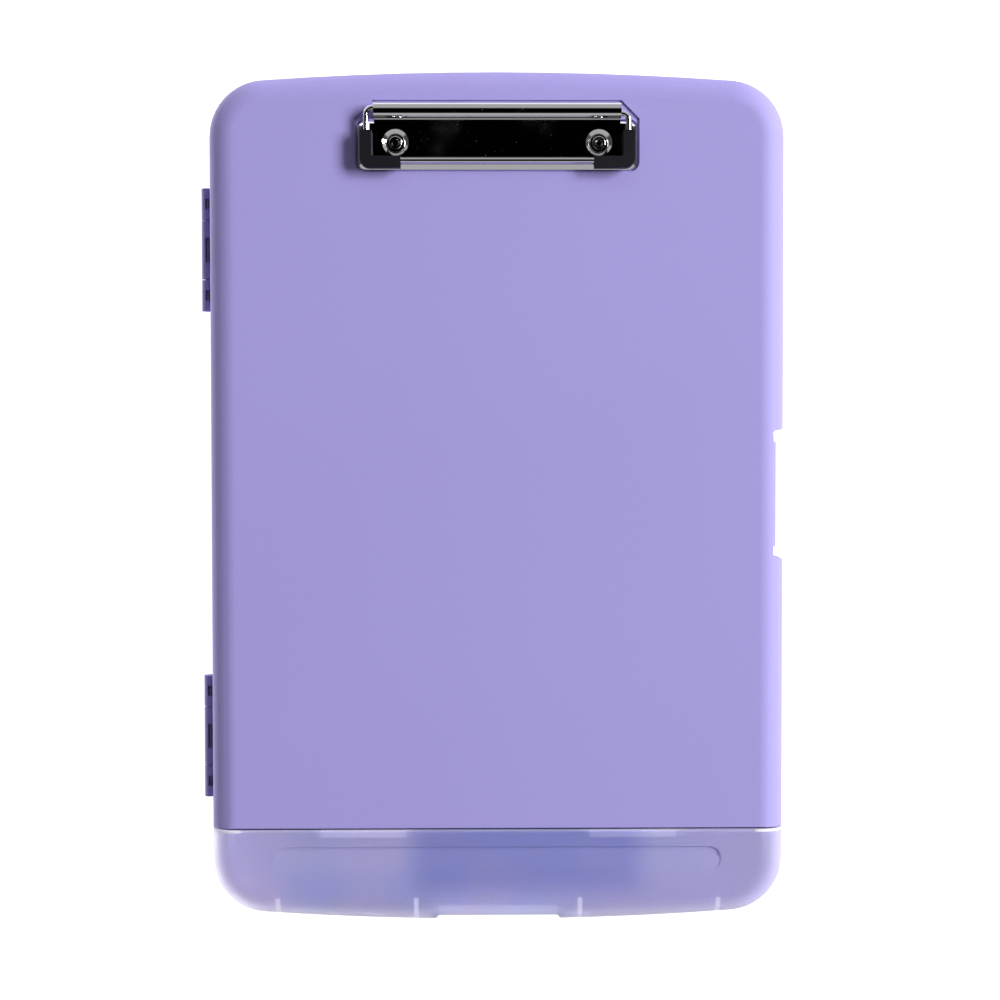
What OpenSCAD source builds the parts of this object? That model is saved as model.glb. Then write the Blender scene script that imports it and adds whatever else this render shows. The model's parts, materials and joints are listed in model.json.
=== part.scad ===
// Storage clipboard box, lying on its back: +Z out of the writing face, +Y to the clip,
// +X to the latch side, origin on the back face below the middle of the outline.

/* [Case] */
// Width of the case, without its hinges
case_w = 243; // [225:1:265]
// Length of the case, from crest to crest of its bowed ends
case_l = 360; // [345:1:385]
// Thickness of the closed case, without the clip
case_t = 28; // [26:0.5:34]
// Corner radius of the outline
corner_r = 24; // [20:0.5:28]
// How far each end bows out beyond its corners
end_bow = 3.4; // [2.5:0.1:5]
// Height of the base tray up to the parting line
base_h = 14; // [12:0.5:15]
// Side wall of the base tray and of the lid
wall = 2.2; // [1.8:0.1:2.6]
// Floor of the base tray
floor_t = 2.2; // [1.6:0.1:3]
// Plate of the lid
plate_t = 2.4; // [2:0.1:3]
// Rounded edge all round the back
base_edge_r = 6; // [5:0.5:8]
// Rounded edge all round the front
lid_edge_r = 8; // [7:0.5:10]
// Gap between two shells
shell_gap = 0.3; // [0.2:0.05:0.5]
// Small rounding along the lower edge of the lid
lip_r = 0.8; // [0.4:0.1:1.2]

/* [Lid hinges] */
// Hinge axis outside the case wall
hinge_out = 2; // [1.5:0.1:2.3]
// Radius of the hinge knuckles
knuckle_r = 2.4; // [2.1:0.1:2.8]
// Radius of the hinge pins
pin_r = 1; // [0.8:0.05:1.2]
// Radial clearance of a pin in its knuckles
pin_gap = 0.05; // [0.02:0.01:0.1]
// Length of one hinge
hinge_l = 52; // [44:0.2:60]
// Length of the middle knuckle, which the lid carries
knuckle_mid_l = 24.6; // [18:0.2:30]
// Gap between two knuckles
knuckle_gap = 0.5; // [0.3:0.05:0.8]
// Middle of the upper hinge, from the upper end of the case
hinge_up_in = 74.3; // [65:0.1:95]
// Middle of the lower hinge, from the lower end of the case
hinge_low_in = 78.1; // [72:0.1:100]
// Width of the windows that show the pin
window_w = 2.2; // [1.6:0.1:2.4]
// Length of the window in an end knuckle
window_end_l = 4.5; // [3:0.5:8]
// Length of the window in a middle knuckle
window_mid_l = 10.5; // [6:0.5:14]

/* [Latch] */
// Lower end of the latch notch, from the middle of the case
notch_lo = -25.3; // [-32:0.1:-22]
// Upper end of the latch notch, from the middle of the case
notch_hi = 28.8; // [23:0.1:34]
// Depth of the latch notch
notch_d = 3.7; // [3:0.1:4.5]
// Rounding of the notch corners in plan
notch_r = 1.6; // [1:0.1:2.4]
// How far the tongue stands out from the floor of the notch
tongue_out = 0.7; // [0.4:0.1:1.2]
// Thickness of the tongue
tongue_t = 1.6; // [1.2:0.1:2]
// Bare stretch of the notch at each end of the tongue
tongue_inset = 5; // [3:0.5:8]
// How far the tongue reaches down over the base tray
tongue_drop = 6; // [4.5:0.5:8]
// Height of the catch rib and of the tongue's nose
catch_h = 1.2; // [0.8:0.1:1.6]
// How far the catch rib stands out
catch_out = 0.6; // [0.4:0.05:0.8]

/* [Pen compartment] */
// From the lower end of the case to the lid's lower edge
pen_l = 40.4; // [37:0.1:46]
// Wall and plate of the pen cover
cover_t = 1.5; // [1.2:0.1:1.8]
// Radius of the cover's hinge barrels and of its rear edge
barrel_r = 1.5; // [1.4:0.05:1.8]
// Length of each hinge barrel
barrel_l = 36; // [24:0.5:44]
// Middle of each hinge barrel, from the middle of the case
barrel_x = 57; // [50:0.5:66]
// Radius of the hinge rods that the base carries
rod_r = 0.8; // [0.7:0.05:0.85]
// Radial clearance of the rods in the barrels
rod_gap = 0.05; // [0.02:0.01:0.08]
// Mouth of the snap-on barrels
barrel_mouth = 1.3; // [1:0.1:1.4]
// Thickness of the posts that hold the rods
post_t = 2; // [1.5:0.1:3]
// Opening angle of the pen cover
cover_open = 100; // [80:1:105]
// Partition between the two compartments
partition_t = 1.8; // [1.4:0.1:2.4]
// Small ribs behind the middle of the cover, from the middle of the case
stop_x = 18.3; // [10:0.1:28]
// Thickness of the cover's ribs and gussets
rib_t = 1.2; // [0.8:0.1:1.6]
// Length of the small ribs
stop_l = 2.6; // [2:0.1:3]
// Length of the sunk panel in the cover
panel_l = 189; // [150:1:196]
// Width of the sunk panel
panel_w = 10.4; // [8:0.2:12]
// Middle of the sunk panel, from the lower end of the case
panel_y = 27.5; // [25.5:0.1:28.5]
// Depth of the sunk panel at its upper edge
panel_d = 1.1; // [0.6:0.1:1.3]
// Outer gussets of the front wall, from the middle of the case
gusset_out_x = 93.4; // [80:0.2:95]
// Inner gussets of the front wall, from the middle of the case
gusset_in_x = 34.7; // [32:0.1:44]
// Reach of the gussets from the front face
gusset_l = 10.7; // [8.5:0.1:12]

/* [Finger notch] */
// Width of the finger notch at the lower end
finger_w = 52.3; // [40:0.5:58]
// Depth of the finger notch in the cover
finger_d = 2.1; // [1.5:0.1:3]
// Depth of the finger recess in the base tray, under the cover
recess_d = 6.5; // [6:0.1:8]
// Height of the finger recess below the parting line
recess_h = 7; // [5:0.5:8]

/* [Clip] */
// Width of the clip plate
clip_w = 118; // [100:1:140]
// Length of the clip plate up to its ears
clip_l = 21.8; // [20:0.2:26]
// Front edge of the clip plate, from the upper end of the case
clip_in = 42.7; // [41:0.1:52]
// Sheet thickness of the clip plate
sheet_t = 0.7; // [0.5:0.05:0.8]
// Height of the clip plate over the lid
clip_h = 2; // [1.6:0.1:2.4]
// Width of the bevel round the clip plate
bevel_w = 2.3; // [1.8:0.1:2.6]
// Corner radius of the clip plate
clip_corner_r = 4; // [3.6:0.1:5]
// Outer radius of the rolled tube
tube_r = 3.25; // [3.15:0.05:3.6]
// Length of the rolled tube
tube_l = 103; // [88:0.5:105]
// Axis of the tube, above the ears of the plate
tube_up = 2.6; // [2.4:0.1:4]
// Opening of the rolled seam above the plate
seam_open = 0.25; // [0.15:0.05:0.6]
// Depth of the pocket in the lid under the clip
pocket_d = 0.8; // [0.5:0.1:1]
// Margin of the pocket round the clip
pocket_m = 0.6; // [0.4:0.1:1.5]
// Margin of the pocket behind the tube
pocket_back = 1.8; // [0.6:0.1:3]
// Spacing of the two rivets
rivet_gap = 85.1; // [70:0.1:90]
// Rivets, above the front edge of the clip plate
rivet_up = 11.6; // [10:0.1:14]
// Radius of the rivet shanks
shank_r = 1.9; // [1.7:0.05:1.9]
// Radius of the rivet heads
head_r = 2.9; // [2.8:0.05:3.3]
// Height of the rivet heads
head_h = 1.1; // [0.8:0.1:1.3]
// Radius of the hollow in the rivet heads
hollow_r = 1.8; // [1.5:0.05:1.9]
// Radius of the hollow in the rivet shanks
bore_r = 1.2; // [0.9:0.1:1.4]
// Clearance of the rivet shanks in their holes
shank_gap = 0.05; // [0.02:0.01:0.1]
// Radius of the pressed dish round each rivet
dish_r = 5.5; // [5:0.1:6.5]
// Radius of the flat seat inside the dish
seat_r = 3.6; // [3.5:0.1:4.2]

/* [Clip jaw] */
// Radius of the jaw wire
wire_r = 1.15; // [1:0.05:1.15]
// Spacing of the two legs of the jaw
leg_gap = 109.6; // [96:0.2:111]
// Jaw bar, above the front edge of the clip plate
bar_up = 3.8; // [3.4:0.1:5]
// Bend radius of the wire
bend_r = 3; // [2.6:0.1:3.1]
// How far each wire end reaches past the middle of the tube
wire_lap = 30; // [10:1:40]
// Width of the rubber grips
grip_w = 4.8; // [4.4:0.1:5.4]
// Height of the rubber grips
grip_h = 4.2; // [3.8:0.1:4.6]
// Length of a grip along the leg
grip_leg_l = 15.6; // [12:0.1:17]
// Length of a grip along the bar
grip_bar_l = 16.9; // [12:0.1:20]
// How far the grips stand out before the bar
grip_lead = 0.9; // [0.4:0.1:1]
// Outer corner radius of the grips
grip_corner_r = 3.9; // [3.2:0.1:4.4]
// Clearance of the wire in the grips
grip_gap = 0.05; // [0.02:0.01:0.1]

/* [Hidden] */

$fn = 64;
far = 40;       // cutters reach this far past what they cut
eps = 1;        // cutters start this far outside
corner_n = 10;  // steps round a corner of the outline
bow_n = 10;     // steps along a bowed end
edge_n = 6;     // steps over a rounded edge
shy = 0.05;     // keeps two round faces from touching along a line
web_part = 0.7; // height of a knuckle's web, in knuckle radii
notch_step = 0.6;  // the lid's front face above the top of its tongue
catch_gap = 0.05;  // between the tongue's nose and the catch rib, seen from above
dish_rim = 0.5;    // overlap of the dishes and the clip plate
sheet_lap = 1;     // overlap of the clip's flat sheet and its edge profile
edge_start = 0.4;  // where that profile starts, from its corner line
wire_gap = 0.06;   // between the two wire ends in the tube

// outline: straight sides, corner arcs, and end arcs tangent to the corner arcs
half_w = case_w / 2;
half_l = case_l / 2;
corner_x = half_w - corner_r;
corner_y = half_l - end_bow - corner_r;
end_r = corner_r + (corner_x * corner_x / end_bow + end_bow) / 2;
end_y = half_l - end_r;
end_a = asin(corner_x / (end_r - corner_r));
lid_z = base_h + shell_gap;
seam_y = -half_l + pen_l;

// lid hinges
hinge_x = -half_w - hinge_out;
hinge_z = base_h + shell_gap / 2;
hinge_up_y = half_l - hinge_up_in;
hinge_low_y = hinge_low_in - half_l;
hinge_ys = [hinge_up_y, hinge_low_y];
knuckle_end_l = (hinge_l - knuckle_mid_l) / 2 - knuckle_gap;
web_h = web_part * knuckle_r;

// latch
notch_x = half_w - notch_d;
tongue_x = notch_x + tongue_out;
tongue_lo = notch_lo + tongue_inset;
tongue_hi = notch_hi - tongue_inset;
catch_x = tongue_x - tongue_t - shell_gap - catch_out;
catch_z = base_h - tongue_drop + catch_h + shell_gap;
latch_d = half_w - catch_x;

// pen cover hinge
pivot_y = seam_y - barrel_r * tan(cover_open / 2) - shell_gap;
pivot_z = case_t - barrel_r;
partition_y = pivot_y - shell_gap;
partition_top = pivot_z - barrel_r - 2 * shell_gap;
cover_rear = pivot_y + barrel_r;

// clip
clip_y = half_l - clip_in;
clip_z = case_t - pocket_d;
clip_top = clip_z + clip_h;
clip_ear_y = clip_y + clip_l;
tube_y = clip_ear_y + tube_up;
tube_in_r = tube_r - sheet_t;
tube_z = clip_top + tube_in_r;
wire_off = wire_r + wire_gap / 2;
bar_y = clip_y + bar_up;
leg_x = leg_gap / 2;
rivet_y = clip_y + rivet_up;
lid_under = plate_t - pocket_d;

// ---- slabs: the outline of the case, rounded over at the top ----

function arc(x, y, r, a_lo, a_hi, n) =
  [for (i = [0:n]) let (a = a_lo + (a_hi - a_lo) * i / n) [x + r * cos(a), y + r * sin(a)]];

// inner points of a list
function inner(list) = [for (i = [1:len(list) - 2]) list[i]];

// bowed end with its two corners, set in by d, from right to left
function bowed_end(d) = concat(
  arc(corner_x, corner_y, corner_r - d, 0, 90 - end_a, corner_n),
  inner(arc(0, end_y, end_r - d, 90 - end_a, 90 + end_a, bow_n)),
  arc(-corner_x, corner_y, corner_r - d, 90 + end_a, 180, corner_n));

function straight_end(d, y) = [[half_w - d, y], [d - half_w, y]];

// from left to right, along the lower end
function turned(list) = [for (i = [len(list) - 1:-1:0]) [list[i].x, -list[i].y]];

// whole outline, set in by d; an end without a y is bowed
function outline(d, y_lo, y_hi) = concat(
  is_undef(y_hi) ? bowed_end(d) : straight_end(d, y_hi),
  is_undef(y_lo) ? turned(bowed_end(d)) : turned(straight_end(d, -y_lo)));

module slab(d, z_lo, z_hi, r, y_lo, y_hi) {
  steps = concat([[d, z_lo]],
                 [for (p = arc(0, 0, r, 0, 90, edge_n)) [d + r - p.x, z_hi - r + p.y]]);
  n = len(outline(d, y_lo, y_hi));
  last = len(steps) - 1;
  points = [for (s = steps, p = outline(s[0], y_lo, y_hi)) [p.x, p.y, s[1]]];
  sides = [for (i = [0:last - 1], j = [0:n - 1]) let (k = (j + 1) % n)
             [i * n + j, (i + 1) * n + j, (i + 1) * n + k, i * n + k]];
  bottom = [[for (j = [0:n - 1]) j]];
  top = [[for (j = [n - 1:-1:0]) last * n + j]];
  polyhedron(points, concat(bottom, sides, top));
}

// quarter of a cross-section, x outwards from the corner line
module edge_2d(reach, h, r) {
  translate([-corner_x, 0])
    square([corner_x + reach, h - r]);
  translate([-corner_x, 0])
    square([corner_x + reach - r, h]);
  translate([reach - r, h - r]) intersection() {
    circle(r);
    square(r);
  }
}

// whole cross-section, seen along Y
module slab_2d(reach, h, r) {
  for (s = [0, 1]) mirror([s, 0])
    translate([corner_x, 0]) edge_2d(reach, h, r);
}

// ---- notches, in plan: cut depth d at x = 0, between y_lo and y_hi ----

module notch_2d(y_lo, y_hi, d, r) {
  translate([-d, y_lo + r]) square([d + far, y_hi - y_lo - 2 * r]);
  translate([-d + r, y_lo]) square([d - r + far, y_hi - y_lo]);
  for (y = [y_lo + r, y_hi - r])
    translate([-d + r, y]) circle(r);
  mouth_2d(y_hi, r);
  translate([0, y_lo]) mirror([0, 1]) mouth_2d(0, r);
}

// rounded outer corner of a notch
module mouth_2d(y, r) {
  difference() {
    translate([-r, y - 0.01]) square([r + far, r]);
    translate([-r, y + r]) circle(r);
  }
}

module along_y(l) {
  rotate([90, 0, 0]) linear_extrude(l, center = true) children();
}

// extrudes a drawing of Y and Z along X
module along_x(l) {
  rotate([90, 0, 90]) linear_extrude(l, center = true) children();
}

// ---- lid hinges ----

module hinge_rod(r, y, l) {
  translate([hinge_x, y, hinge_z]) rotate([90, 0, 0])
    cylinder(r = r, h = l, center = true);
}

// middles of the two end knuckles
function end_knuckle_ys(y) = [for (s = [-1, 1]) y + s * (hinge_l - knuckle_end_l) / 2];

// up is 1 where the knuckle hangs on the lid, -1 on the base
module knuckle(y, l, up) {
  hinge_rod(knuckle_r, y, l);
  web_z = up > 0 ? lid_z : hinge_z - web_h;
  web_top = up > 0 ? hinge_z + web_h : base_h;
  translate([hinge_x, y - l / 2, web_z])
    cube([hinge_out + wall / 2, l, web_top - web_z]);
}

// bore for the pin, and the window that shows it
module knuckle_bore(y, l, window_l) {
  hinge_rod(pin_r + pin_gap, y, l + 2 * eps);
  translate([hinge_x - window_w / 2 + pin_r / 2, y - window_l / 2, hinge_z])
    cube([window_w, window_l, knuckle_r + eps]);
}

module pin(y) {
  color("silver") hinge_rod(pin_r, y, hinge_l - 2 * knuckle_gap);
}

// ---- base tray ----

module base_shell() {
  translate([0, 0, base_h]) mirror([0, 0, 1]) difference() {
    slab(0, 0, base_h, base_edge_r);
    difference() {
      slab(wall, -eps, base_h - floor_t, base_edge_r - wall);
      behind_latch(latch_d);
      behind_finger(recess_d);
    }
  }
}

// keeps a wall behind a notch of depth d in the right side
module behind_latch(d) {
  translate([half_w - d - wall, notch_lo - wall, -far])
    cube([far, notch_hi - notch_lo + 2 * wall, 2 * far]);
}

// keeps a wall behind a notch of depth d in the lower end
module behind_finger(d) {
  translate([-finger_w / 2 - wall, -half_l - far + d + wall, -far])
    cube([finger_w + 2 * wall, far, 2 * far]);
}

module partition() {
  translate([0, partition_y - partition_t / 2, 0]) {
    along_y(partition_t) translate([0, base_h]) mirror([0, 1])
      slab_2d(corner_r - wall / 2, base_h - floor_t / 2, base_edge_r - wall / 2);
    along_y(partition_t)
      translate([0, base_h - eps])
        slab_2d(corner_r - cover_t - 2 * shell_gap, partition_top - base_h + eps, lid_edge_r);
  }
}

module cover_rods() {
  for (s = [-1, 1]) translate([s * barrel_x, 0, 0]) {
    translate([0, pivot_y, pivot_z]) rotate([0, 90, 0])
      cylinder(r = rod_r, h = barrel_l + 2 * (post_t + shell_gap), center = true);
    for (t = [-1, 1])
      translate([t * (barrel_l + post_t + 2 * shell_gap) / 2, partition_y, partition_top])
        post();
  }
}

// a post stands on the partition and reaches the rod from below and in front
module post() {
  translate([-post_t / 2, -partition_t, -eps])
    cube([post_t, partition_t, pivot_z - shell_gap - partition_top + eps]);
}

module latch_notch() {
  translate([half_w, 0, -eps]) linear_extrude(case_t + 2 * eps)
    notch_2d(notch_lo, notch_hi, notch_d, notch_r);
}

// pocket that the lid's tongue drops into
module tongue_pocket() {
  translate([catch_x, tongue_lo - shell_gap, base_h - tongue_drop - 2 * shell_gap])
    cube([far, tongue_hi - tongue_lo + 2 * shell_gap, far]);
}

// catch rib: flat below, sloping above
module catch_rib() {
  translate([catch_x, (tongue_lo + tongue_hi) / 2, catch_z])
    along_y(tongue_hi - tongue_lo - 2 * tongue_inset)
      polygon([[-eps, 0], [catch_out, 0], [catch_out, catch_h / 2], [0, catch_h], [-eps, catch_h]]);
}

module finger_notch(d, h_lo, h_hi) {
  translate([0, -half_l, h_lo]) rotate([0, 0, -90]) linear_extrude(h_hi - h_lo)
    notch_2d(-finger_w / 2, finger_w / 2, d, notch_r);
}

module base_tray() {
  color([0.60, 0.56, 0.82]) {
    difference() {
      union() {
        base_shell();
        partition();
        for (y = hinge_ys, k = end_knuckle_ys(y))
          knuckle(k, knuckle_end_l, -1);
      }
      latch_notch();
      tongue_pocket();
      finger_notch(finger_d, -eps, base_h + eps);
      finger_notch(recess_d, base_h - recess_h, base_h + eps);
      for (y = hinge_ys) {
        hinge_rod(knuckle_r + shell_gap, y, knuckle_mid_l + 2 * knuckle_gap);
        for (k = end_knuckle_ys(y))
          knuckle_bore(k, knuckle_end_l, window_end_l);
      }
    }
    catch_rib();
    cover_rods();
  }
}

// ---- lid ----

module lid_shell() {
  difference() {
    slab(0, lid_z, case_t, lid_edge_r, seam_y);
    difference() {
      slab(wall, lid_z - eps, case_t - plate_t, lid_edge_r - wall, seam_y + wall);
      behind_latch(notch_d);
    }
  }
}

// the latch tongue: follows the rounded edge above, ends in a nose below the catch rib
module tongue() {
  translate([0, (tongue_lo + tongue_hi) / 2, 0]) {
    along_y(tongue_hi - tongue_lo) {
      translate([0, lid_z]) intersection() {
        translate([corner_x, 0])
          edge_2d(corner_r, case_t - lid_z - notch_step, lid_edge_r);
        translate([tongue_x - tongue_t, 0])
          square([tongue_t, case_t]);
      }
      translate([tongue_x - tongue_t, base_h - tongue_drop])
        square([tongue_t, tongue_drop + eps]);
    }
    along_y(tongue_hi - tongue_lo - 2 * tongue_inset)
      translate([tongue_x - tongue_t, base_h - tongue_drop])
        polygon([[catch_gap - shell_gap, 0], [eps, 0], [eps, catch_h], [catch_gap - shell_gap, catch_h]]);
  }
}

// outline of the clip's pocket: rounded in front, cut off beside the tube
module pocket_2d() {
  w = clip_w / 2 + pocket_m;
  y_lo = clip_y - pocket_m;
  r = clip_corner_r + pocket_m;
  tube_top = tube_y + tube_r + pocket_back;
  polygon([[-w, y_lo + r], [w, y_lo + r], [w, clip_ear_y], [tube_l / 2 + pocket_m, tube_top],
           [-tube_l / 2 - pocket_m, tube_top], [-w, clip_ear_y]]);
  translate([-w + r, y_lo]) square([2 * (w - r), 2 * r]);
  for (s = [-1, 1])
    translate([s * (w - r), y_lo + r]) circle(r);
}

module at_rivets() {
  for (s = [-1, 1])
    translate([s * rivet_gap / 2, rivet_y, clip_z]) children();
}

// rounds the lower edge of the lid along the seam
module seam_lip() {
  translate([0, seam_y, case_t]) along_x(case_w + 2 * eps)
    polygon(concat(arc(lip_r, -lip_r, lip_r + shy, 90, 180, 5),
                   [[-eps, -lip_r], [-eps, eps], [lip_r, eps]]));
}

module lid() {
  color([0.63, 0.59, 0.85]) {
    difference() {
      union() {
        lid_shell();
        for (y = hinge_ys)
          knuckle(y, knuckle_mid_l, 1);
      }
      latch_notch();
      seam_lip();
      translate([0, 0, clip_z]) linear_extrude(far) pocket_2d();
      at_rivets() cylinder(r = shank_r + shank_gap, h = far, center = true);
      for (y = hinge_ys) {
        knuckle_bore(y, knuckle_mid_l, window_mid_l);
        for (k = end_knuckle_ys(y))
          hinge_rod(knuckle_r + shell_gap, k, knuckle_end_l + 2 * knuckle_gap);
      }
    }
    tongue();
  }
}

// ---- pen cover ----

module cover_shell() {
  difference() {
    slab(0, lid_z, case_t, lid_edge_r, undef, cover_rear);
    difference() {
      slab(cover_t, lid_z - eps, case_t - cover_t, lid_edge_r - cover_t, undef, cover_rear + eps);
      behind_finger(finger_d);
    }
  }
}

// clears all that lies above the pivot and behind the round rear edge
module rear_round() {
  translate([0, pivot_y, pivot_z]) along_x(case_w + 2 * eps) difference() {
    square([far, far]);
    circle(barrel_r - shy);
  }
}

module at_barrels() {
  for (s = [-1, 1])
    translate([s * barrel_x, pivot_y, pivot_z]) rotate([0, 90, 0]) children();
}

module panel_2d(grow) {
  r = panel_w / 2 + grow;
  x = panel_l / 2 - panel_w / 2;
  for (s = [-1, 1])
    translate([s * x, 0]) circle(r);
  translate([-x, -r]) square([2 * x, 2 * r]);
}

// the panel is sunk at its upper edge and runs out at its lower edge
module panel_floor() {
  along_x(case_w)
    polygon([[-panel_w, far], [-panel_w, panel_d / 2], [panel_w / 2, -panel_d], [panel_w, -panel_d],
             [panel_w, far]]);
}

// web in the rounded corner between the cover's plate and its front wall
module gusset(x) {
  front_y = sqrt(end_r * end_r - x * x) - end_r;
  r = lid_edge_r - cover_t / 2;
  for (s = [-1, 1])
    translate([s * x, -half_l - front_y, case_t]) along_x(rib_t)
      polygon(concat(arc(lid_edge_r, -lid_edge_r, r, 170, 90, 5),
                     [[gusset_l, -cover_t / 2], [gusset_l, -cover_t - rib_t / 2]]));
}

module barrels() {
  at_barrels() difference() {
    cylinder(r = barrel_r - 2 * shy, h = barrel_l, center = true);
    translate([barrel_r, 0, 0])
      cube([2 * barrel_r, barrel_mouth, barrel_l + 2 * eps], center = true);
  }
}

module panel_pad() {
  translate([0, -half_l + panel_y, case_t - cover_t - panel_d])
    linear_extrude(panel_d + cover_t / 2) panel_2d(cover_t);
}

module panel_cut() {
  translate([0, -half_l + panel_y, case_t]) intersection() {
    translate([0, 0, -far / 2]) linear_extrude(far) panel_2d(0);
    panel_floor();
  }
}

module stop_ribs() {
  for (s = [-1, 1])
    translate([s * stop_x - rib_t / 2, cover_rear - shell_gap - stop_l, pivot_z - 2 * barrel_r / 3])
      cube([rib_t, stop_l, barrel_r]);
}

module pen_cover() {
  color([0.80, 0.78, 0.93]) difference() {
    union() {
      difference() {
        cover_shell();
        rear_round();
      }
      barrels();
      stop_ribs();
      panel_pad();
      gusset(gusset_in_x);
      gusset(gusset_out_x);
    }
    at_barrels() cylinder(r = rod_r + rod_gap, h = barrel_l + 2 * eps, center = true);
    for (t = [-1, 1])
      at_barrels() translate([0, 0, t * (barrel_l + post_t + 2 * shell_gap) / 2])
        cylinder(r = rod_r + shell_gap, h = post_t + 4 * shell_gap, center = true);
    finger_notch(finger_d, 0, case_t + eps);
    panel_cut();
  }
}

// ---- clip plate ----

module two_sides() {
  children();
  mirror([1, 0, 0]) children();
}

// bevelled sheet edge, from its corner line outwards
module clip_edge() {
  slant = sheet_t * sqrt(bevel_w * bevel_w + clip_h * clip_h) / clip_h;
  under_x = clip_corner_r - bevel_w + bevel_w * sheet_t / clip_h - slant;
  polygon([[edge_start, clip_h - sheet_t], [edge_start, clip_h], [clip_corner_r - bevel_w, clip_h],
           [clip_corner_r, 0], [clip_corner_r - slant, 0], [under_x, clip_h - sheet_t]]);
}

// the bevel runs round the ears to the ends of the tube, where the sheet goes straight on
module clip_tray() {
  x = clip_w / 2 - clip_corner_r;
  y = clip_y + clip_corner_r;
  ear_y = clip_ear_y - clip_corner_r;
  translate([0, 0, clip_z]) {
    translate([-x - sheet_lap, y - sheet_lap, clip_h - sheet_t])
      cube([2 * (x + sheet_lap), ear_y - y + 2 * sheet_lap, sheet_t]);
    translate([-tube_l / 2, ear_y, clip_h - sheet_t])
      cube([tube_l, clip_corner_r, sheet_t]);
    two_sides() {
      translate([x, ear_y, 0]) rotate([90, 0, 0])
        linear_extrude(ear_y - y) clip_edge();
      translate([x, y, 0]) rotate([0, 0, -90])
        rotate_extrude(angle = 90) clip_edge();
      translate([x, ear_y, 0])
        rotate_extrude(angle = 90) clip_edge();
      if (x > tube_l / 2)
        translate([tube_l / 2, ear_y, 0]) rotate([90, 0, 90])
          linear_extrude(x - tube_l / 2) clip_edge();
    }
    translate([x, y, 0]) rotate([90, 0, -90])
      linear_extrude(2 * x) clip_edge();
  }
}

// the sheet runs on under the tube and rolls up, back and over, down to the plate again
module rolled_tube() {
  open_a = asin((tube_in_r - seam_open) / tube_r);
  translate([0, tube_y, tube_z]) along_x(tube_l) {
    difference() {
      circle(tube_r);
      circle(tube_in_r);
      polygon([[0, 0], [0, -2 * tube_r], [-2 * tube_r, -2 * tube_r],
               2 * tube_r * [-cos(open_a), -sin(open_a)]]);
    }
    translate([-tube_up - eps, -tube_r]) square([tube_up + eps, sheet_t]);
  }
}

// pressed dish that brings the sheet down to the lid round a rivet
module dish() {
  rim_r = dish_r + dish_rim;
  rotate_extrude()
    polygon([[shank_r + shank_gap, 0], [seat_r + dish_rim, 0], [rim_r, clip_h - sheet_t],
             [rim_r, clip_h], [dish_r, clip_h], [seat_r, sheet_t],
             [shank_r + shank_gap, sheet_t]]);
}

module clip_plate() {
  color([0.35, 0.35, 0.37]) {
    difference() {
      union() {
        clip_tray();
        rolled_tube();
      }
      at_rivets() cylinder(r = dish_r + dish_rim / 2, h = far, center = true);
    }
    at_rivets() dish();
  }
}

// ---- rivets ----

module rivet(s) {
  tail_t = 0.8;
  color([0.75, 0.75, 0.77])
    translate([s * rivet_gap / 2, rivet_y, clip_z]) rotate_extrude() difference() {
      union() {
        translate([0, -lid_under - tail_t]) square([shank_r, lid_under + tail_t + sheet_t]);
        translate([0, -lid_under - tail_t]) square([head_r, tail_t]);
        translate([0, sheet_t]) square([head_r, head_h / 2]);
        translate([0, sheet_t]) square([head_r - head_h / 2, head_h]);
        translate([head_r - head_h / 2, sheet_t + head_h / 2]) circle(head_h / 2);
      }
      polygon([[0, -lid_under / 2], [bore_r, -lid_under / 2], [bore_r, sheet_t],
               [hollow_r, sheet_t + head_h], [hollow_r, far], [0, far]]);
      translate([-far, -far / 2]) square([far, far]);
    }
}

// ---- clip jaw ----

// one half of the bent wire: along the tube, down the leg, along the bar
module half_wire(r, off) {
  y_top = tube_y + off;
  translate([-wire_lap, y_top, 0]) rotate([0, 90, 0])
    cylinder(r = r, h = leg_x - bend_r + wire_lap);
  translate([leg_x - bend_r, y_top - bend_r, 0])
    rotate_extrude(angle = 90) translate([bend_r, 0]) circle(r);
  half_bar(r, y_top - bend_r);
}

module half_bar(r, y_top) {
  translate([leg_x, bar_y + bend_r, 0]) rotate([-90, 0, 0])
    cylinder(r = r, h = y_top - bar_y - bend_r);
  translate([leg_x - bend_r, bar_y + bend_r, 0])
    rotate_extrude(angle = 90, start = 270) translate([bend_r, 0]) circle(r);
  translate([0, bar_y, 0]) rotate([0, 90, 0])
    cylinder(r = r, h = leg_x - bend_r);
}

module clip_wire() {
  color([0.7, 0.7, 0.72]) translate([0, 0, tube_z]) {
    half_wire(wire_r, -wire_off);
    mirror([1, 0, 0]) half_wire(wire_r, wire_off);
  }
}

// L-shaped rubber grip round the corner of the wire
module grip_2d() {
  x = leg_x - grip_w / 2;
  y_lo = bar_y - grip_w / 2 - grip_lead;
  r = grip_corner_r;
  difference() {
    union() {
      translate([x, y_lo + r]) square([grip_w, grip_leg_l - r]);
      translate([x + grip_w - grip_bar_l, y_lo]) square([grip_bar_l - r, grip_w]);
      translate([x + grip_w - r, y_lo + r]) circle(r);
      translate([x, y_lo + grip_w / 2]) square([grip_w - r / 2, grip_w]);
    }
    translate([x - far, y_lo + grip_w]) square([far, far]);
  }
}

module grip() {
  color([0.08, 0.08, 0.09]) translate([0, 0, tube_z]) difference() {
    linear_extrude(grip_h, center = true) grip_2d();
    half_bar(wire_r + grip_gap, tube_y - bend_r);
  }
}

base_tray();
lid();
pen_cover();
pin(hinge_up_y);  // hinge_pin_upper
pin(hinge_low_y);  // hinge_pin_lower
clip_plate();
clip_wire();
mirror([1, 0, 0]) grip();  // clip_grip_left
grip();  // clip_grip_right
rivet(-1);  // clip_rivet_left
rivet(1);  // clip_rivet_right
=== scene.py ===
import json
import math

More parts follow.
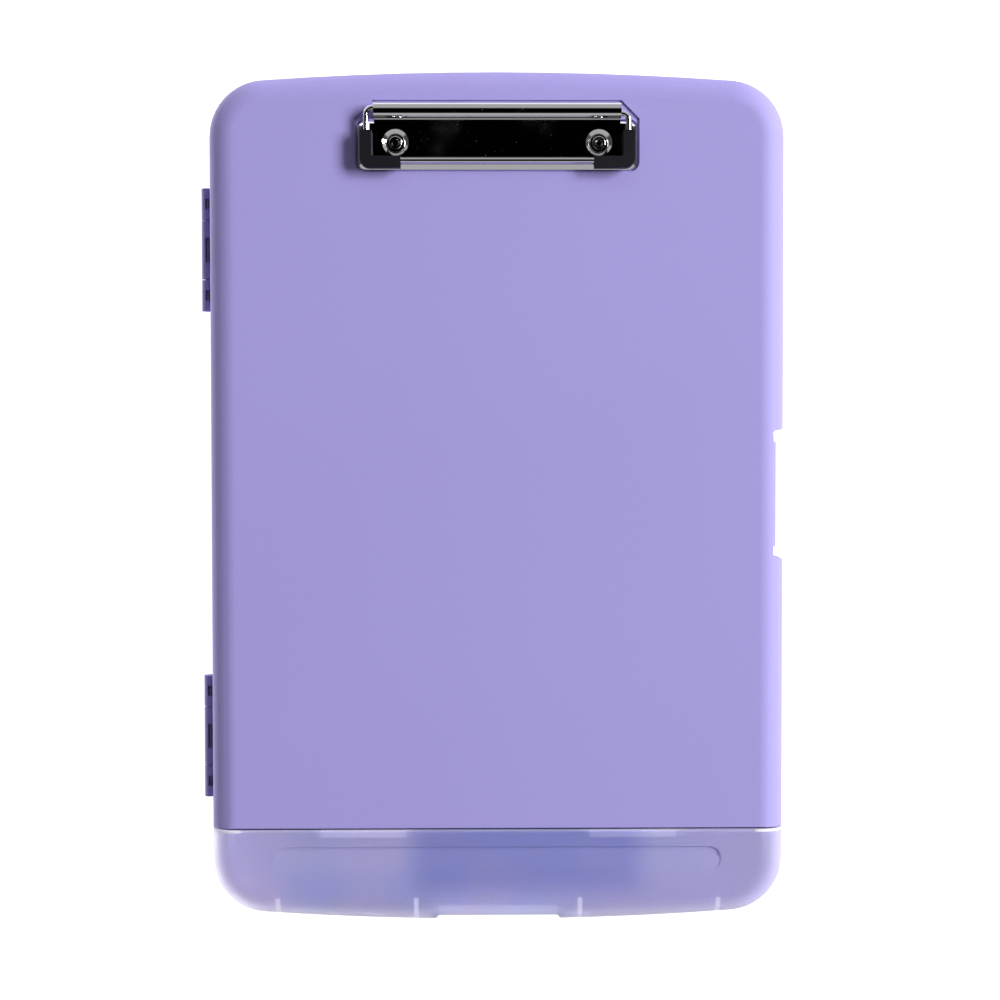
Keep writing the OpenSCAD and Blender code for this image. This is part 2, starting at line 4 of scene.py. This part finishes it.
import bmesh
import bpy
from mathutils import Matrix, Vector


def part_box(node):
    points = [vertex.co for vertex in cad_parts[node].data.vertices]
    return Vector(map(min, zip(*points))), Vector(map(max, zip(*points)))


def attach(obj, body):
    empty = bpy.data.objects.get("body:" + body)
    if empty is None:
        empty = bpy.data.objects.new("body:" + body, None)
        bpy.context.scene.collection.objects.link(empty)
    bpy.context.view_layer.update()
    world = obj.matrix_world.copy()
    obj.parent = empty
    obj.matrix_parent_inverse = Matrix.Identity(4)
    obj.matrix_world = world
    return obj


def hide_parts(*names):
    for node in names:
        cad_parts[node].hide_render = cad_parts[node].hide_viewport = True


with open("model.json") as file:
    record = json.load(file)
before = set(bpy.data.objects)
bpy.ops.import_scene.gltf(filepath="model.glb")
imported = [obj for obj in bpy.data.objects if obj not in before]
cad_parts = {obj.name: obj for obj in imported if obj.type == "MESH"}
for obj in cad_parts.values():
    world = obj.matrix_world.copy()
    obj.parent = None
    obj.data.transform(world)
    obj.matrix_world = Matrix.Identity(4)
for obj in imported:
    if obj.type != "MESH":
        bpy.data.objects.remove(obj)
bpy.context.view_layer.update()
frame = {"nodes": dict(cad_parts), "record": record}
print("frame loaded:", len(frame["nodes"]), "nodes")

mm = 0.001

# ways to add nodes to a tree


def feed(tree, socket, value):
    # a number or colour is set on the socket, and another node's output is linked to it
    if isinstance(value, (int, float, tuple)):
        socket.default_value = value
    else:
        tree.links.new(value, socket)


def addMath(tree, operation, first, second=0.0):
    node = tree.nodes.new("ShaderNodeMath")
    node.operation = operation
    feed(tree, node.inputs[0], first)
    feed(tree, node.inputs[1], second)
    return node.outputs[0]


def addVectorMath(tree, operation, first, second):
    node = tree.nodes.new("ShaderNodeVectorMath")
    node.operation = operation
    feed(tree, node.inputs[0], first)
    feed(tree, node.inputs["Scale" if operation == "SCALE" else 1], second)
    return node.outputs["Value" if operation == "DOT_PRODUCT" else "Vector"]


def addMix(tree, factor, first, second, blend="MIX"):
    node = tree.nodes.new("ShaderNodeMix")
    node.data_type = "RGBA"
    node.blend_type = blend
    for place, value in ((0, factor), (6, first), (7, second)):  # the node's sockets for colours
        feed(tree, node.inputs[place], value)
    return node.outputs[2]


def addRamp(tree, value, stops):
    # stops are pairs of a place from 0 to 1 and a grey level
    ramp = tree.nodes.new("ShaderNodeValToRGB")
    while len(ramp.color_ramp.elements) < len(stops):
        ramp.color_ramp.elements.new(0.5)
    for element, (place, level) in zip(ramp.color_ramp.elements, stops):
        element.position = place
        element.color = (level, level, level, 1)
    tree.links.new(value, ramp.inputs[0])
    return ramp.outputs["Color"]


def addMapRange(tree, value, before, after=(0.0, 1.0), smooth=False):
    # carries a value from one range to another, and holds it at the ends
    node = tree.nodes.new("ShaderNodeMapRange")
    node.interpolation_type = "SMOOTHSTEP" if smooth else "LINEAR"
    tree.links.new(value, node.inputs["Value"])
    for end, label in enumerate(("Min", "Max")):
        node.inputs["From " + label].default_value = before[end]
        node.inputs["To " + label].default_value = after[end]
    return node.outputs[0]


def addBand(tree, value, low, high, soft):
    # 1 from low to high in millimetres, falling to 0 over soft on both sides
    rise = addMapRange(tree, value, ((low - soft) * mm, low * mm), smooth=True)
    fall = addMapRange(tree, value, ((high + soft) * mm, high * mm), smooth=True)
    return addMath(tree, "MULTIPLY", rise, fall)


def addCoords(tree, kind):
    return tree.nodes.new("ShaderNodeTexCoord").outputs[kind]


def addSplit(tree, vector):
    split = tree.nodes.new("ShaderNodeSeparateXYZ")
    tree.links.new(vector, split.inputs[0])
    return split.outputs


def addNoise(tree, scale, detail):
    noise = tree.nodes.new("ShaderNodeTexNoise")
    noise.inputs["Detail"].default_value = detail
    tree.links.new(addCoords(tree, "Object"), noise.inputs["Vector"])
    feed(tree, noise.inputs["Scale"], scale)
    return noise.outputs["Fac"]


view = {
    "place": (-6.2, 19.4, 750.0),           # millimetres, over the middle of the case
    "turn": (-0.02767, -0.00996, -0.0012),  # radians about X, Y and Z
    "sensor": 36.0,                         # millimetres
    "lens": 61.79,
    "nearest": 0.01,                        # metres
}


def addCamera():
    data = bpy.data.cameras.new("photoCamera")
    data.lens = view["lens"]
    data.sensor_width = view["sensor"]
    data.clip_start = view["nearest"]
    camera = bpy.data.objects.new("photoCamera", data)
    camera.location = [v * mm for v in view["place"]]
    camera.rotation_euler = view["turn"]
    bpy.context.scene.collection.objects.link(camera)
    bpy.context.scene.camera = camera


# what lights the case and mirrors in it; to the eye the room is plain white
room = {
    "front": 0.46,          # pale wall beyond the lower end of the case
    "back": 0.44,           # pale wall beyond its upper end
    "side": 0.07,           # dark sides
    "sideWidth": 0.34,      # half width of the dark sides, as the sine of the angle
    "soft": 0.16,
    "coneTilt": 17.0,       # the dark opening overhead leans to the lower end, in degrees
    "coneAngle": 32.5,      # its half angle
    "coneSoft": 0.05,
    "coneLight": 0.004,
}


def addRoom():
    world = bpy.data.worlds.new("studio")
    world.use_nodes = True
    tree = world.node_tree
    tree.nodes.clear()
    direction = addCoords(tree, "Generated")
    fromFront = addMath(tree, "MULTIPLY", addMath(tree, "ADD", addSplit(tree, direction)["Y"], 1.0), 0.5)
    dark, soft = room["sideWidth"] / 2, room["soft"] / 2
    walls = addRamp(tree, fromFront, [(0.5 - dark - soft, room["front"]), (0.5 - dark, room["side"]),
                                      (0.5 + dark, room["side"]), (0.5 + dark + soft, room["back"])])
    lean = math.radians(room["coneTilt"])
    edge = math.cos(math.radians(room["coneAngle"]))
    overhead = addVectorMath(tree, "DOT_PRODUCT", direction, (0.0, -math.sin(lean), math.cos(lean)))
    opening = addRamp(tree, overhead, [(edge - room["coneSoft"], 1.0), (edge, room["coneLight"])])
    seen = tree.nodes.new("ShaderNodeBackground")
    tree.links.new(addVectorMath(tree, "MULTIPLY", walls, opening), seen.inputs["Color"])
    white = tree.nodes.new("ShaderNodeBackground")
    white.inputs["Color"].default_value = (1, 1, 1, 1)
    path = tree.nodes.new("ShaderNodeLightPath")
    either = tree.nodes.new("ShaderNodeMixShader")
    output = tree.nodes.new("ShaderNodeOutputWorld")
    tree.links.new(path.outputs["Is Camera Ray"], either.inputs[0])
    tree.links.new(seen.outputs[0], either.inputs[1])
    tree.links.new(white.outputs[0], either.inputs[2])
    tree.links.new(either.outputs[0], output.inputs["Surface"])
    bpy.context.scene.world = world


# azimuth runs from +X to +Y, height is in degrees, far and size are in metres
lamps = [
    {"name": "keyBox", "azimuth": 16.0, "height": 33.0, "far": 6.0, "size": (3.5, 1.7), "watts": 590.0,
     "gloss": True},
    {"name": "topFill", "azimuth": 90.0, "height": 30.0, "far": 1.6, "size": (1.4, 0.4), "watts": 1.0,
     "gloss": False},
]


def addLamp(lamp):
    data = bpy.data.lights.new(lamp["name"], "AREA")
    data.shape = "RECTANGLE"
    data.size, data.size_y = lamp["size"]
    data.energy = lamp["watts"]
    light = bpy.data.objects.new(lamp["name"], data)
    around, up = math.radians(lamp["azimuth"]), math.radians(lamp["height"])
    light.location = (lamp["far"] * math.cos(up) * math.cos(around),
                      lamp["far"] * math.cos(up) * math.sin(around),
                      lamp["far"] * math.sin(up))
    light.rotation_euler = light.location.to_track_quat("Z", "Y").to_euler()
    light.visible_camera = False
    light.visible_glossy = lamp["gloss"]
    bpy.context.scene.collection.objects.link(light)


# the pale floor, in metres
floor = {
    "size": 8.0,
    "drop": 0.0003,                # just under the case, and clear from below
    "color": (0.50, 0.50, 0.51, 1),
    "roughness": 0.9,
    "specular": 0.1,
    "glow": 1.0,                   # plain white in the picture
    "bounce": (2.0, 0.55),         # light that it gives the case instead, left and right
    "bounceAt": (-0.126, -0.112),  # where the one turns into the other
}


def floorPaint():
    material = bpy.data.materials.new("paleFloor")
    material.use_nodes = True
    tree = material.node_tree
    shader = tree.nodes["Principled BSDF"]
    shader.inputs["Base Color"].default_value = floor["color"]
    shader.inputs["Roughness"].default_value = floor["roughness"]
    shader.inputs["Specular IOR Level"].default_value = floor["specular"]
    shader.inputs["Emission Color"].default_value = (1, 1, 1, 1)
    across = addSplit(tree, addCoords(tree, "Object"))["X"]
    glow = tree.nodes.new("ShaderNodeMix")
    path = tree.nodes.new("ShaderNodeLightPath")
    tree.links.new(path.outputs["Is Camera Ray"], glow.inputs[0])
    tree.links.new(addMapRange(tree, across, floor["bounceAt"], floor["bounce"]), glow.inputs[2])
    glow.inputs[3].default_value = floor["glow"]
    tree.links.new(glow.outputs[0], shader.inputs["Emission Strength"])
    side = tree.nodes.new("ShaderNodeNewGeometry")
    clear = tree.nodes.new("ShaderNodeBsdfTransparent")
    either = tree.nodes.new("ShaderNodeMixShader")
    tree.links.new(side.outputs["Backfacing"], either.inputs[0])
    tree.links.new(shader.outputs[0], either.inputs[1])
    tree.links.new(clear.outputs[0], either.inputs[2])
    tree.links.new(either.outputs[0], tree.nodes["Material Output"].inputs["Surface"])
    return material


def addFloor():
    half = floor["size"] / 2
    corners = [(-half, -half, 0), (half, -half, 0), (half, half, 0), (-half, half, 0)]
    mesh = bpy.data.meshes.new("floor")
    mesh.from_pydata(corners, [], [(0, 1, 2, 3)])
    mesh.materials.append(floorPaint())
    piece = bpy.data.objects.new("floor", mesh)
    piece.location.z = -floor["drop"]
    bpy.context.scene.collection.objects.link(piece)


addCamera()
addRoom()
for lamp in lamps:
    addLamp(lamp)
addFloor()
bpy.context.scene.view_settings.view_transform = "Standard"
bpy.context.scene.view_settings.look = "None"
print("camera and studio set")

# effects that several materials share


def newGroup(name, inputs, outputs):
    group = bpy.data.node_groups.new(name, "ShaderNodeTree")
    for label, kind, value in inputs:
        socket = group.interface.new_socket(label, in_out="INPUT", socket_type=kind)
        socket.default_value = value
    for label, kind in outputs:
        group.interface.new_socket(label, in_out="OUTPUT", socket_type=kind)
    return group, group.nodes.new("NodeGroupInput"), group.nodes.new("NodeGroupOutput")


grainTone = {
    "speckle": 0.16,        # how much the grain varies the colour
    "driftScale": 9.0,      # how fine the slow drifts of tone are
    "roughDrift": 1.2,      # how much of them the roughness shows
}


def mouldGrainGroup():
    # fine spark-eroded grain, with slow drifts of tone as in every large moulding
    group, given, out = newGroup(
        "mouldGrain",
        [("Color", "NodeSocketColor", (0.5, 0.5, 0.5, 1)),
         ("Grain Scale", "NodeSocketFloat", 1400.0),
         ("Tone Drift", "NodeSocketFloat", 0.05),
         ("Roughness", "NodeSocketFloat", 0.5)],
        [("Color", "NodeSocketColor"), ("Roughness", "NodeSocketFloat"), ("Height", "NodeSocketFloat")])
    link = group.links.new
    grain = addNoise(group, given.outputs["Grain Scale"], 2.0)
    drift = addNoise(group, grainTone["driftScale"], 2.0)
    speckle = addMath(group, "MULTIPLY", addMath(group, "SUBTRACT", grain, 0.5), grainTone["speckle"])
    slow = addMath(group, "MULTIPLY", addMath(group, "SUBTRACT", drift, 0.5), given.outputs["Tone Drift"])
    tone = addMath(group, "ADD", addMath(group, "ADD", speckle, slow), 1.0)
    link(addVectorMath(group, "SCALE", given.outputs["Color"], tone), out.inputs["Color"])
    roughDrift = addMath(group, "MULTIPLY", slow, grainTone["roughDrift"])
    link(addMath(group, "ADD", given.outputs["Roughness"], roughDrift), out.inputs["Roughness"])
    link(grain, out.inputs["Height"])
    return group


# noise scales, and the part of each noise that shows
touches = {"smearScale": 55.0, "smearFrom": (0.54, 0.72), "speckScale": 1300.0, "speckFrom": (0.77, 0.80)}


def handlingGroup():
    # smears of fingers and a few fine specks on polished metal
    group, given, out = newGroup(
        "handling",
        [("Roughness", "NodeSocketFloat", 0.05),
         ("Smear", "NodeSocketFloat", 0.12),
         ("Speck", "NodeSocketFloat", 0.3)],
        [("Roughness", "NodeSocketFloat")])
    smear = addMapRange(group, addNoise(group, touches["smearScale"], 3.0), touches["smearFrom"])
    speck = addMapRange(group, addNoise(group, touches["speckScale"], 1.0), touches["speckFrom"])
    mask = addMath(group, "ADD", addMath(group, "MULTIPLY", smear, given.outputs["Smear"]),
                   addMath(group, "MULTIPLY", speck, given.outputs["Speck"]))
    group.links.new(addMath(group, "ADD", given.outputs["Roughness"], mask), out.inputs["Roughness"])
    return group


mouldGrain = mouldGrainGroup()
handling = handlingGroup()


def newMaterial(name):
    material = bpy.data.materials.new(name)
    material.use_nodes = True
    return material, material.node_tree, material.node_tree.nodes["Principled BSDF"]


def placeGroup(tree, group, values):
    node = tree.nodes.new("ShaderNodeGroup")
    node.node_tree = group
    for label, value in values.items():
        node.inputs[label].default_value = value
    return node


def moulded(name, look):
    # plastic or rubber: the mould's grain gives colour, roughness and bump
    material, tree, shader = newMaterial(name)
    grain = placeGroup(tree, mouldGrain, {"Color": look["color"], "Grain Scale": look["grain"],
                                          "Tone Drift": look["drift"], "Roughness": look["roughness"]})
    bump = tree.nodes.new("ShaderNodeBump")
    bump.inputs["Strength"].default_value = look["bump"]
    bump.inputs["Distance"].default_value = look["bumpHeight"]
    tree.links.new(grain.outputs["Color"], shader.inputs["Base Color"])
    tree.links.new(grain.outputs["Roughness"], shader.inputs["Roughness"])
    tree.links.new(grain.outputs["Height"], bump.inputs["Height"])
    tree.links.new(bump.outputs[0], shader.inputs["Normal"])
    shader.inputs["Specular IOR Level"].default_value = look["specular"]
    return material, tree, shader, grain


def touchedMetal(name, look):
    material, tree, shader = newMaterial(name)
    touched = placeGroup(tree, handling, {"Roughness": look["roughness"], "Smear": look["smear"],
                                          "Speck": look["speck"]})
    tree.links.new(touched.outputs["Roughness"], shader.inputs["Roughness"])
    shader.inputs["Base Color"].default_value = look["color"]
    shader.inputs["Metallic"].default_value = 1.0
    return material


lilac = {"color": (0.336, 0.296, 0.645, 1), "grain": 1500.0, "drift": 0.05, "roughness": 0.6,
         "specular": 0.32, "bump": 0.35, "bumpHeight": 0.00006}

rubber = {"color": (0.006, 0.006, 0.010, 1), "grain": 2400.0, "drift": 0.3, "roughness": 0.5,
          "specular": 0.16, "bump": 0.2, "bumpHeight": 0.00004}

chrome = {"color": (0.80, 0.80, 0.82, 1), "roughness": 0.05, "smear": 0.10, "speck": 0.3}

steel = {"color": (0.42, 0.41, 0.42, 1), "roughness": 0.32, "smear": 0.2, "speck": 0.2}

frosted = {
    "color": (0.80, 0.73, 1.0, 1), "bluish": (0.72, 0.705, 1.0, 1),  # the plate drifts between the two
    "cloudScale": 26.0, "cloudFrom": (0.42, 0.58),
    "grain": 1100.0, "drift": 0.03, "roughness": 0.5, "specular": 0.5, "bump": 0.3, "bumpHeight": 0.00005,
    "transmission": 0.68, "ior": 1.42,
    "white": (0.97, 0.96, 1.0, 1),         # painted light: the colour the round edges are mixed towards
    "paintedGlowTint": (1.0, 0.95, 0.88, 1),           # painted glow: colour of the light painted into the round edges as emission
    "paintedRimGlow": [(0.0, 0.0), (0.3, 0.02), (0.5, 0.06), (0.75, 0.10), (1.0, 0.10)],
    "thick": 0.12,                         # the same painted glow over ribs, barrels and the finger notch
    # these lie at so many millimetres from the middle and along the case, with their share of it
    "sections": [((92.6, 94.2), (-180.0, -169.6), 1.0), ((33.9, 35.5), (-181.0, -169.4), 1.0),
                 ((39.0, 75.0), (-143.4, -140.6), 0.4), ((0.0, 25.0), (-180.0, -172.6), 0.35)],
    "sectionSoft": 0.35,
    # painted shade on the plate, darkest under the seam: across, along, softness and colour
    "paintedShades": [((-28.0, 52.0), (-158.0, -138.0), 16.0, (0.70, 0.73, 0.90, 1)),
               ((-74.0, 110.0), (-190.0, -130.0), 24.0, (0.88, 0.92, 0.98, 1))],
    # faint painted glow in it, as emission, in the same way
    "paintedGlows": [((-150.0, 150.0), (-190.0, -130.0), 5.0, (0.004, 0.004, 0.012, 1)),
              ((-130.0, -112.0), (-190.0, -130.0), 16.0, (0.028, 0.022, 0.03, 1))],
}


def addSpot(tree, across, along, edges, soft):
    # 1 inside a rectangle of the plate, falling to 0 around it
    sides, ends = edges
    return addMath(tree, "MULTIPLY", addBand(tree, across, *sides, soft), addBand(tree, along, *ends, soft))


def paintedRimLightGroup():
    # painted light on the frosted plate: whiter steep edges, painted glow on edges and thick sections,
    # painted glow patches and painted shade
    group, given, out = newGroup(
        "paintedRimLight",
        [("Painted Glow Color", "NodeSocketColor", (1, 1, 1, 1)), ("Painted Thick Glow", "NodeSocketFloat", 0.1)],
        [("Light", "NodeSocketColor"), ("Painted Rim White", "NodeSocketFloat"), ("Shade", "NodeSocketColor")])
    normal = addSplit(group, addCoords(group, "Normal"))
    place = addSplit(group, addCoords(group, "Object"))
    across, along = place["X"], place["Y"]
    upright = addMath(group, "MULTIPLY", normal["Z"], normal["Z"])
    steep = addMath(group, "SQRT", addMath(group, "MAXIMUM", addMath(group, "SUBTRACT", 1.0, upright), 0.0))
    # painted rim light: whiter on steep walls, most at the left, least at the right, where the key light
    # falls
    paintedRimWhite = addMath(group, "MULTIPLY", addMath(group, "SUBTRACT", steep, normal["X"]), 0.5)
    fromMiddle = addMath(group, "ABSOLUTE", across)
    thick = 0.0
    for *edges, share in frosted["sections"]:
        spot = addSpot(group, fromMiddle, along, edges, frosted["sectionSoft"])
        thick = addMath(group, "ADD", thick, addMath(group, "MULTIPLY", spot, share))
    # painted glow: emission on steep edges and thick sections, standing in for light carried in the plastic
    paintedGlowLevel = addMath(group, "ADD", addRamp(group, paintedRimWhite, frosted["paintedRimGlow"]),
                      addMath(group, "MULTIPLY", thick, given.outputs["Painted Thick Glow"]))
    light = addVectorMath(group, "SCALE", given.outputs["Painted Glow Color"], paintedGlowLevel)
    # painted glow patches added to the emission
    for *edges, soft, tint in frosted["paintedGlows"]:
        light = addMix(group, addSpot(group, across, along, edges, soft), light, tint, "ADD")
    # painted shade, multiplied into the plate colour
    shade = (1, 1, 1, 1)
    for *edges, soft, tint in frosted["paintedShades"]:
        spot = addSpot(group, across, along, edges, soft)
        shade = addMix(group, 1.0, shade, addMix(group, spot, (1, 1, 1, 1), tint), "MULTIPLY")
    group.links.new(light, out.inputs["Light"])
    group.links.new(paintedRimWhite, out.inputs["Painted Rim White"])
    group.links.new(shade, out.inputs["Shade"])
    return group


def frostedPlastic():
    material, tree, shader, grain = moulded("frostedPlastic", frosted)
    edges = placeGroup(tree, paintedRimLightGroup(), {"Painted Glow Color": frosted["paintedGlowTint"],
                                                 "Painted Thick Glow": frosted["thick"]})
    low, high = frosted["cloudFrom"]
    cloud = addRamp(tree, addNoise(tree, frosted["cloudScale"], 1.0), [(low, 0.0), (high, 1.0)])
    # the painted shade darkens the plate colour
    plate = addMix(tree, 1.0, addMix(tree, cloud, frosted["color"], frosted["bluish"]),
                   edges.outputs["Shade"], "MULTIPLY")
    # the plate colour is mixed towards white on steep walls, as painted light
    tree.links.new(addMix(tree, edges.outputs["Painted Rim White"], plate, frosted["white"]), grain.inputs["Color"])
    # the painted glow goes in as emission
    tree.links.new(edges.outputs["Light"], shader.inputs["Emission Color"])
    shader.inputs["Emission Strength"].default_value = 1.0
    shader.inputs["Transmission Weight"].default_value = frosted["transmission"]
    shader.inputs["IOR"].default_value = frosted["ior"]
    return material


finishes = {
    "lilac_plastic": moulded("lilacPlastic", lilac)[0],
    "frosted_plastic": frostedPlastic(),
    "clip_chrome": touchedMetal("clipChrome", chrome),
    "pin_steel": touchedMetal("pinSteel", steel),
    "black_rubber": moulded("blackRubber", rubber)[0],
}
print("materials made:", len(finishes))

slotOf = {sub["node"]: sub["material_slot"] for sub in frame["record"]["subparts"]}

# outline and round edge of the two front shells, in millimetres
shell = {
    "corner": 24.0,       # corner radius of the outline
    "bow": 3.4,           # how far each end bows out
    "edge": 8.0,          # the round edge, as the solids have it
    "spread": 11.0,       # how far the real edge blends into the plate
    "fade": 4.0,          # plate behind the round edge that gives way to it
    "skin": (6.6, 7.8),   # between the inner and the outer surface, from the edge's own centre line
    "least": 1e-6,        # a distance that counts as none
}

halfWidth, halfLength, shellTop = (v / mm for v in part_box("lid")[1])
cornerX = halfWidth - shell["corner"]
cornerY = halfLength - shell["bow"] - shell["corner"]
endRadius = shell["corner"] + (cornerX ** 2 / shell["bow"] + shell["bow"]) / 2
endY = halfLength - endRadius


def outlineAt(x, y):
    # how far inside the outline a point lies, and the direction outwards
    if abs(y) <= cornerY:
        return halfWidth - abs(x), (math.copysign(1, x), 0)
    turn = math.atan2(abs(x), abs(y) - endY)
    if turn < math.asin(cornerX / (endRadius - shell["corner"])):
        centre, radius = (0, endY), endRadius
    else:
        centre, radius = (cornerX, cornerY), shell["corner"]
    across, along = abs(x) - centre[0], abs(y) - centre[1]
    reach = max(math.hypot(across, along), shell["least"])
    return radius - reach, (math.copysign(across / reach, x), math.copysign(along / reach, y))


def softenEdge(work):
    # the round edge runs out into the plate more gently than a plain quarter circle
    edge, fade = shell["edge"], shell["fade"]
    low, high = shell["skin"]
    for vert in work.verts:
        x, y, z = (v / mm for v in vert.co)
        inside, (outX, outY) = outlineAt(x, y)
        if z < shellTop - edge or not 0 < inside < edge + fade:
            continue
        depth = math.hypot(max(edge - inside, 0), z - shellTop + edge)
        weight = min(max((depth - low) / (high - low), 0), 1)
        gain = (shell["spread"] - edge) * min(inside / edge, (edge + fade - inside) / fade)
        vert.co.x -= outX * gain * weight * mm
        vert.co.y -= outY * gain * weight * mm


moulding = {
    "join": 0.002,        # vertices nearer than this are one, in millimetres
    "flat": 0.4,          # faces within this angle are one flat face, in degrees
    "sharp": 28.0,        # edges over this angle stay crisp, in degrees
    "weight": 90,         # how much the large faces lead the shading
}


def smoothMoulding(node, body, soften=False):
    # the same shell with its facets joined, so that its round edges shade as one surface
    mesh = frame["nodes"][node].data.copy()
    piece = bpy.data.objects.new(node + "Shell", mesh)
    bpy.context.scene.collection.objects.link(piece)
    work = bmesh.new()
    work.from_mesh(mesh)
    bmesh.ops.remove_doubles(work, verts=work.verts, dist=moulding["join"] * mm)
    bmesh.ops.dissolve_limit(work, angle_limit=math.radians(moulding["flat"]), verts=work.verts,
                             edges=work.edges)
    if soften:
        softenEdge(work)
    for face in work.faces:
        face.smooth = True
    for edge in work.edges:
        edge.smooth = len(edge.link_faces) == 2 and edge.calc_face_angle() < math.radians(moulding["sharp"])
    work.to_mesh(mesh)
    work.free()
    mesh.materials.clear()
    mesh.materials.append(finishes[slotOf[node]])
    shading = piece.modifiers.new("shading", "WEIGHTED_NORMAL")
    shading.keep_sharp = True
    shading.weight = moulding["weight"]
    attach(piece, body)
    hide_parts(node)


smoothMoulding("base_tray", "base")
smoothMoulding("lid", "lid", soften=True)
smoothMoulding("pen_cover", "pen_cover", soften=True)
print("mouldings smoothed")

# lip on the cover's two rear corners, whitish from painted light, in millimetres
lip = {
    "inner": 108.7,       # from the middle to where it starts
    "rear": -140.25,      # its rear face
    "foot": 14.6,         # height of its lower end
    "thick": 1.35, "deep": 1.3,
    "proud": 0.1,         # how far it stands out of the plate
    "bevel": (0.25, 0.2),  # depth and width of the bevels at its outer corners
    "start": 0.55,        # thickness at the inner end, as a share
    "steps": 16,
    # a whiter colour and a faint emission: painted glow of light along the edge
    "color": (0.86, 0.85, 0.95, 1), "transmission": 0.25, "light": 0.06,
}


def lipPlastic():
    # the frosted plastic, painted whiter and faintly glowing where it stands on edge
    material, _, shader, _ = moulded("frostedLip", {**frosted, "color": lip["color"]})
    # painted glow as emission
    shader.inputs["Emission Color"].default_value = frosted["paintedGlowTint"]
    shader.inputs["Emission Strength"].default_value = lip["light"]
    shader.inputs["Transmission Weight"].default_value = lip["transmission"]
    shader.inputs["IOR"].default_value = frosted["ior"]
    return material


def lipStations():
    # places along the round edge, from the plate down to the foot, each with the direction outwards
    spread, edge = shell["spread"], shell["edge"]
    stations = [(lip["inner"], shellTop, 0.0, 1.0)]
    for step in range(lip["steps"] + 1):
        angle = math.pi / 2 * (1 - step / lip["steps"])
        x, z = math.cos(angle) * spread, math.sin(angle) * edge
        outX, outZ = x / spread ** 2, z / edge ** 2
        reach = math.hypot(outX, outZ)
        stations.append((halfWidth - spread + x, shellTop - edge + z, outX / reach, outZ / reach))
    return stations + [(halfWidth, lip["foot"], 1.0, 0.0)]


def addLip(side, finish):
    # a flat bar bent over the round edge, as a ring of corners at each station
    half = lip["thick"] / 2
    bevelDeep, bevelWide = lip["bevel"]
    inner = [(-lip["deep"], -half), (-lip["deep"], half)]
    outer = [(-bevelDeep, half), (0.0, half - bevelWide), (0.0, bevelWide - half), (-bevelDeep, -half)]
    verts, faces = [], []
    for index, (x, z, outX, outZ) in enumerate(lipStations()):
        share = lip["start"] if index == 0 else 1.0
        ring = inner + [(depth + lip["proud"] * outZ, across) for depth, across in outer]
        for depth, across in ring:
            verts.append((side * (x + outX * depth) * mm, (lip["rear"] - half + across * share) * mm,
                          (z + outZ * depth) * mm))
    count = len(inner) + len(outer)
    for here in range(0, len(verts) - count, count):
        for corner in range(count):
            beside = (corner + 1) % count
            faces.append((here + corner, here + beside, here + count + beside, here + count + corner))
    faces.append(tuple(range(count)))
    faces.append(tuple(range(len(verts) - count, len(verts))))
    mesh = bpy.data.meshes.new("coverLip")
    mesh.from_pydata(verts, [], faces)
    work = bmesh.new()
    work.from_mesh(mesh)
    bmesh.ops.recalc_face_normals(work, faces=work.faces)
    work.to_mesh(mesh)
    work.free()
    mesh.materials.append(finish)
    piece = bpy.data.objects.new("coverLipLeft" if side < 0 else "coverLipRight", mesh)
    bpy.context.scene.collection.objects.link(piece)
    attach(piece, "pen_cover")


lipFinish = lipPlastic()
for side in (-1, 1):
    addLip(side, lipFinish)
print("cover lips added")

for node, thing in frame["nodes"].items():
    if node not in ("base_tray", "lid", "pen_cover"):
        for slot in thing.material_slots:
            slot.material = finishes[slotOf[node]]
print("metal and rubber finished")
